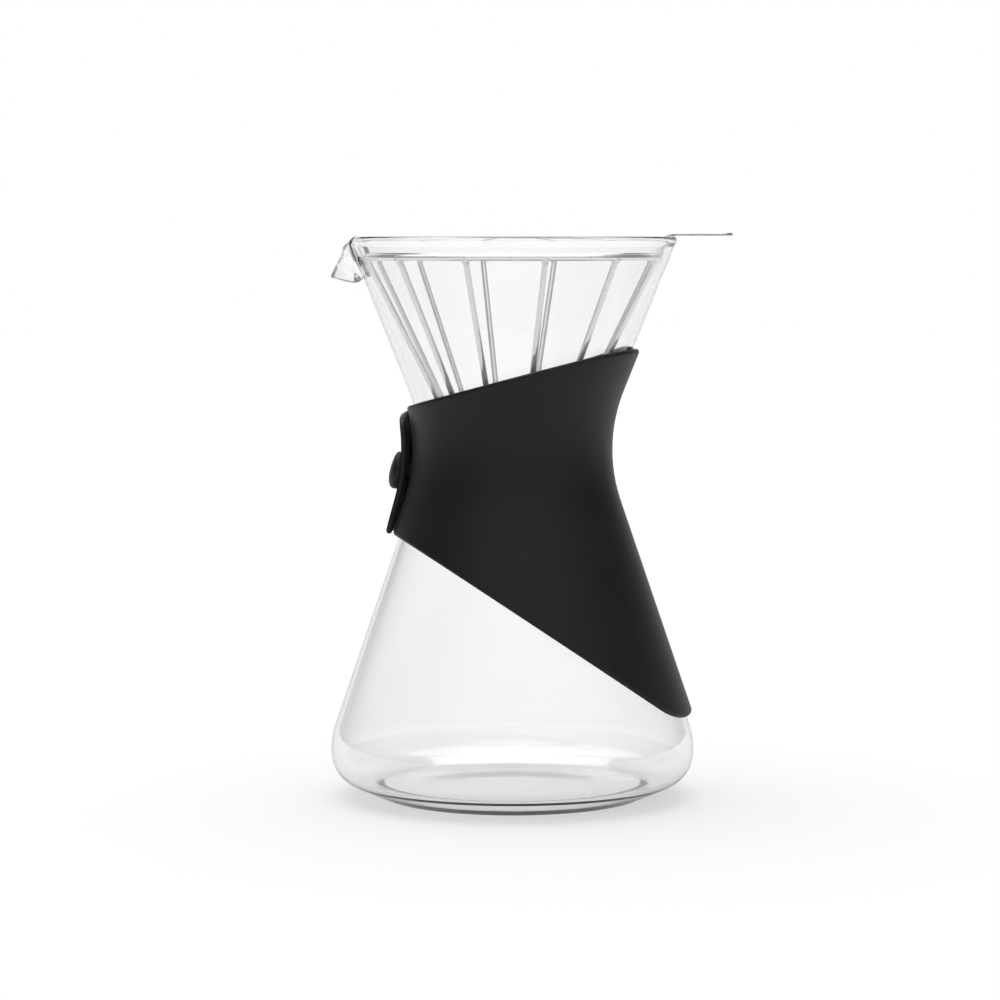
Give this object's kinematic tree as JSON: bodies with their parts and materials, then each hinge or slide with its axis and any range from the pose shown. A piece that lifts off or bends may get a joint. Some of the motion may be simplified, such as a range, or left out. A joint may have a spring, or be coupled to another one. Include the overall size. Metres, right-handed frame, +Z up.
{
  "type": "pour-over coffee maker",
  "caption": "Waisted glass carafe with a folded pouring lip, a lift-out wire filter cone hung from its rim and a buttoned silicone sleeve round the waist.",
  "frame": {"origin": "centre of the flat base, on the surface it stands on", "axes": "+Z up along the carafe's axis; the pouring lip points along -X and the holder's handle along +X"},
  "size_m": [0.143, 0.13, 0.2013],
  "materials": {
    "glass": "clear, fire-polished at the rim",
    "steel": "polished stainless wire and sheet",
    "silicone": "matt moulded silicone",
    "button": "matt moulded silicone"
  },
  "bodies": {
    "carafe": {"glass_carafe": "glass", "sleeve_wrap": "silicone"},
    "filter_holder": {"holder_top_ring": "steel", "holder_rib_01": "steel", "holder_rib_02": "steel", "holder_rib_03": "steel", "holder_rib_04": "steel", "holder_rib_05": "steel", "holder_rib_06": "steel", "holder_rib_07": "steel", "holder_rib_08": "steel", "holder_rib_09": "steel", "holder_rib_10": "steel", "holder_rib_11": "steel", "holder_rib_12": "steel", "holder_bottom_ring": "steel", "holder_handle": "steel"},
    "closing_flap": {"sleeve_flap": "silicone", "closure_button": "button"}
  },
  "joints": [
    {"name": "holder_lift", "type": "slide", "parent": "carafe", "child": "filter_holder", "axis": [0, 0, 1], "range_m": [0, 0.11]},
    {"name": "flap_hinge", "type": "hinge", "parent": "carafe", "child": "closing_flap", "pos_m": [-0.0325, 0.0203, 0.1404], "axis": [-0.1105, 0.069, -0.9915], "range_deg": [0, 60]}
  ]
}
